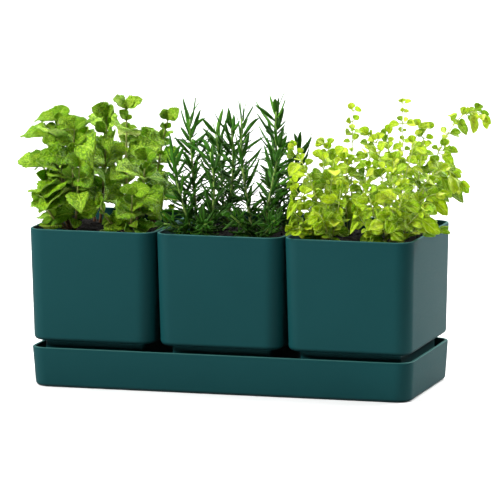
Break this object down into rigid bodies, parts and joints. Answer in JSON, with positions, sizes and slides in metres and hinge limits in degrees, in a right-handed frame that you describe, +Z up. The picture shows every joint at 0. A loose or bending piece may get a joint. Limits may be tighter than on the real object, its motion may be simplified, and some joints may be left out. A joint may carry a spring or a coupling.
{
  "type": "indoor herb planter",
  "caption": "Row of tapered square plastic pots planted with mint, rosemary and oregano, lifting out of a long shared drip tray.",
  "frame": {"origin": "middle of the drip tray's flat underside, which rests on the table", "axes": "+X along the row towards the oregano, -Y towards the front, +Z up"},
  "size_m": [0.4086, 0.1446, 0.2468],
  "materials": {
    "plastic": "matte moulded polypropylene, dark teal",
    "potting_soil": "loose dark peat and bark crumbs",
    "mint_leaf": "crinkled matte leaf, yellow-green",
    "rosemary_leaf": "smooth dark green needle",
    "oregano_leaf": "soft light yellow-green leaf"
  },
  "bodies": {
    "tray": {"tray": "plastic"},
    "pot_left": {"pot_left": "plastic", "soil_left": "potting_soil", "mint_front_left": "mint_leaf", "mint_front_right": "mint_leaf", "mint_back_left": "mint_leaf", "mint_back_right": "mint_leaf"},
    "pot_middle": {"pot_middle": "plastic", "soil_middle": "potting_soil", "rosemary_front_left": "rosemary_leaf", "rosemary_front_right": "rosemary_leaf", "rosemary_back_left": "rosemary_leaf", "rosemary_back_right": "rosemary_leaf"},
    "pot_right": {"pot_right": "plastic", "soil_right": "potting_soil", "oregano_front_left": "oregano_leaf", "oregano_front_right": "oregano_leaf", "oregano_back_left": "oregano_leaf", "oregano_back_right": "oregano_leaf"}
  },
  "joints": [
    {"name": "lift_left", "type": "slide", "parent": "tray", "child": "pot_left", "axis": [0, 0, 1], "range_m": [0, 0.15]},
    {"name": "lift_middle", "type": "slide", "parent": "tray", "child": "pot_middle", "axis": [0, 0, 1], "range_m": [0, 0.15]},
    {"name": "lift_right", "type": "slide", "parent": "tray", "child": "pot_right", "axis": [0, 0, 1], "range_m": [0, 0.15]}
  ]
}
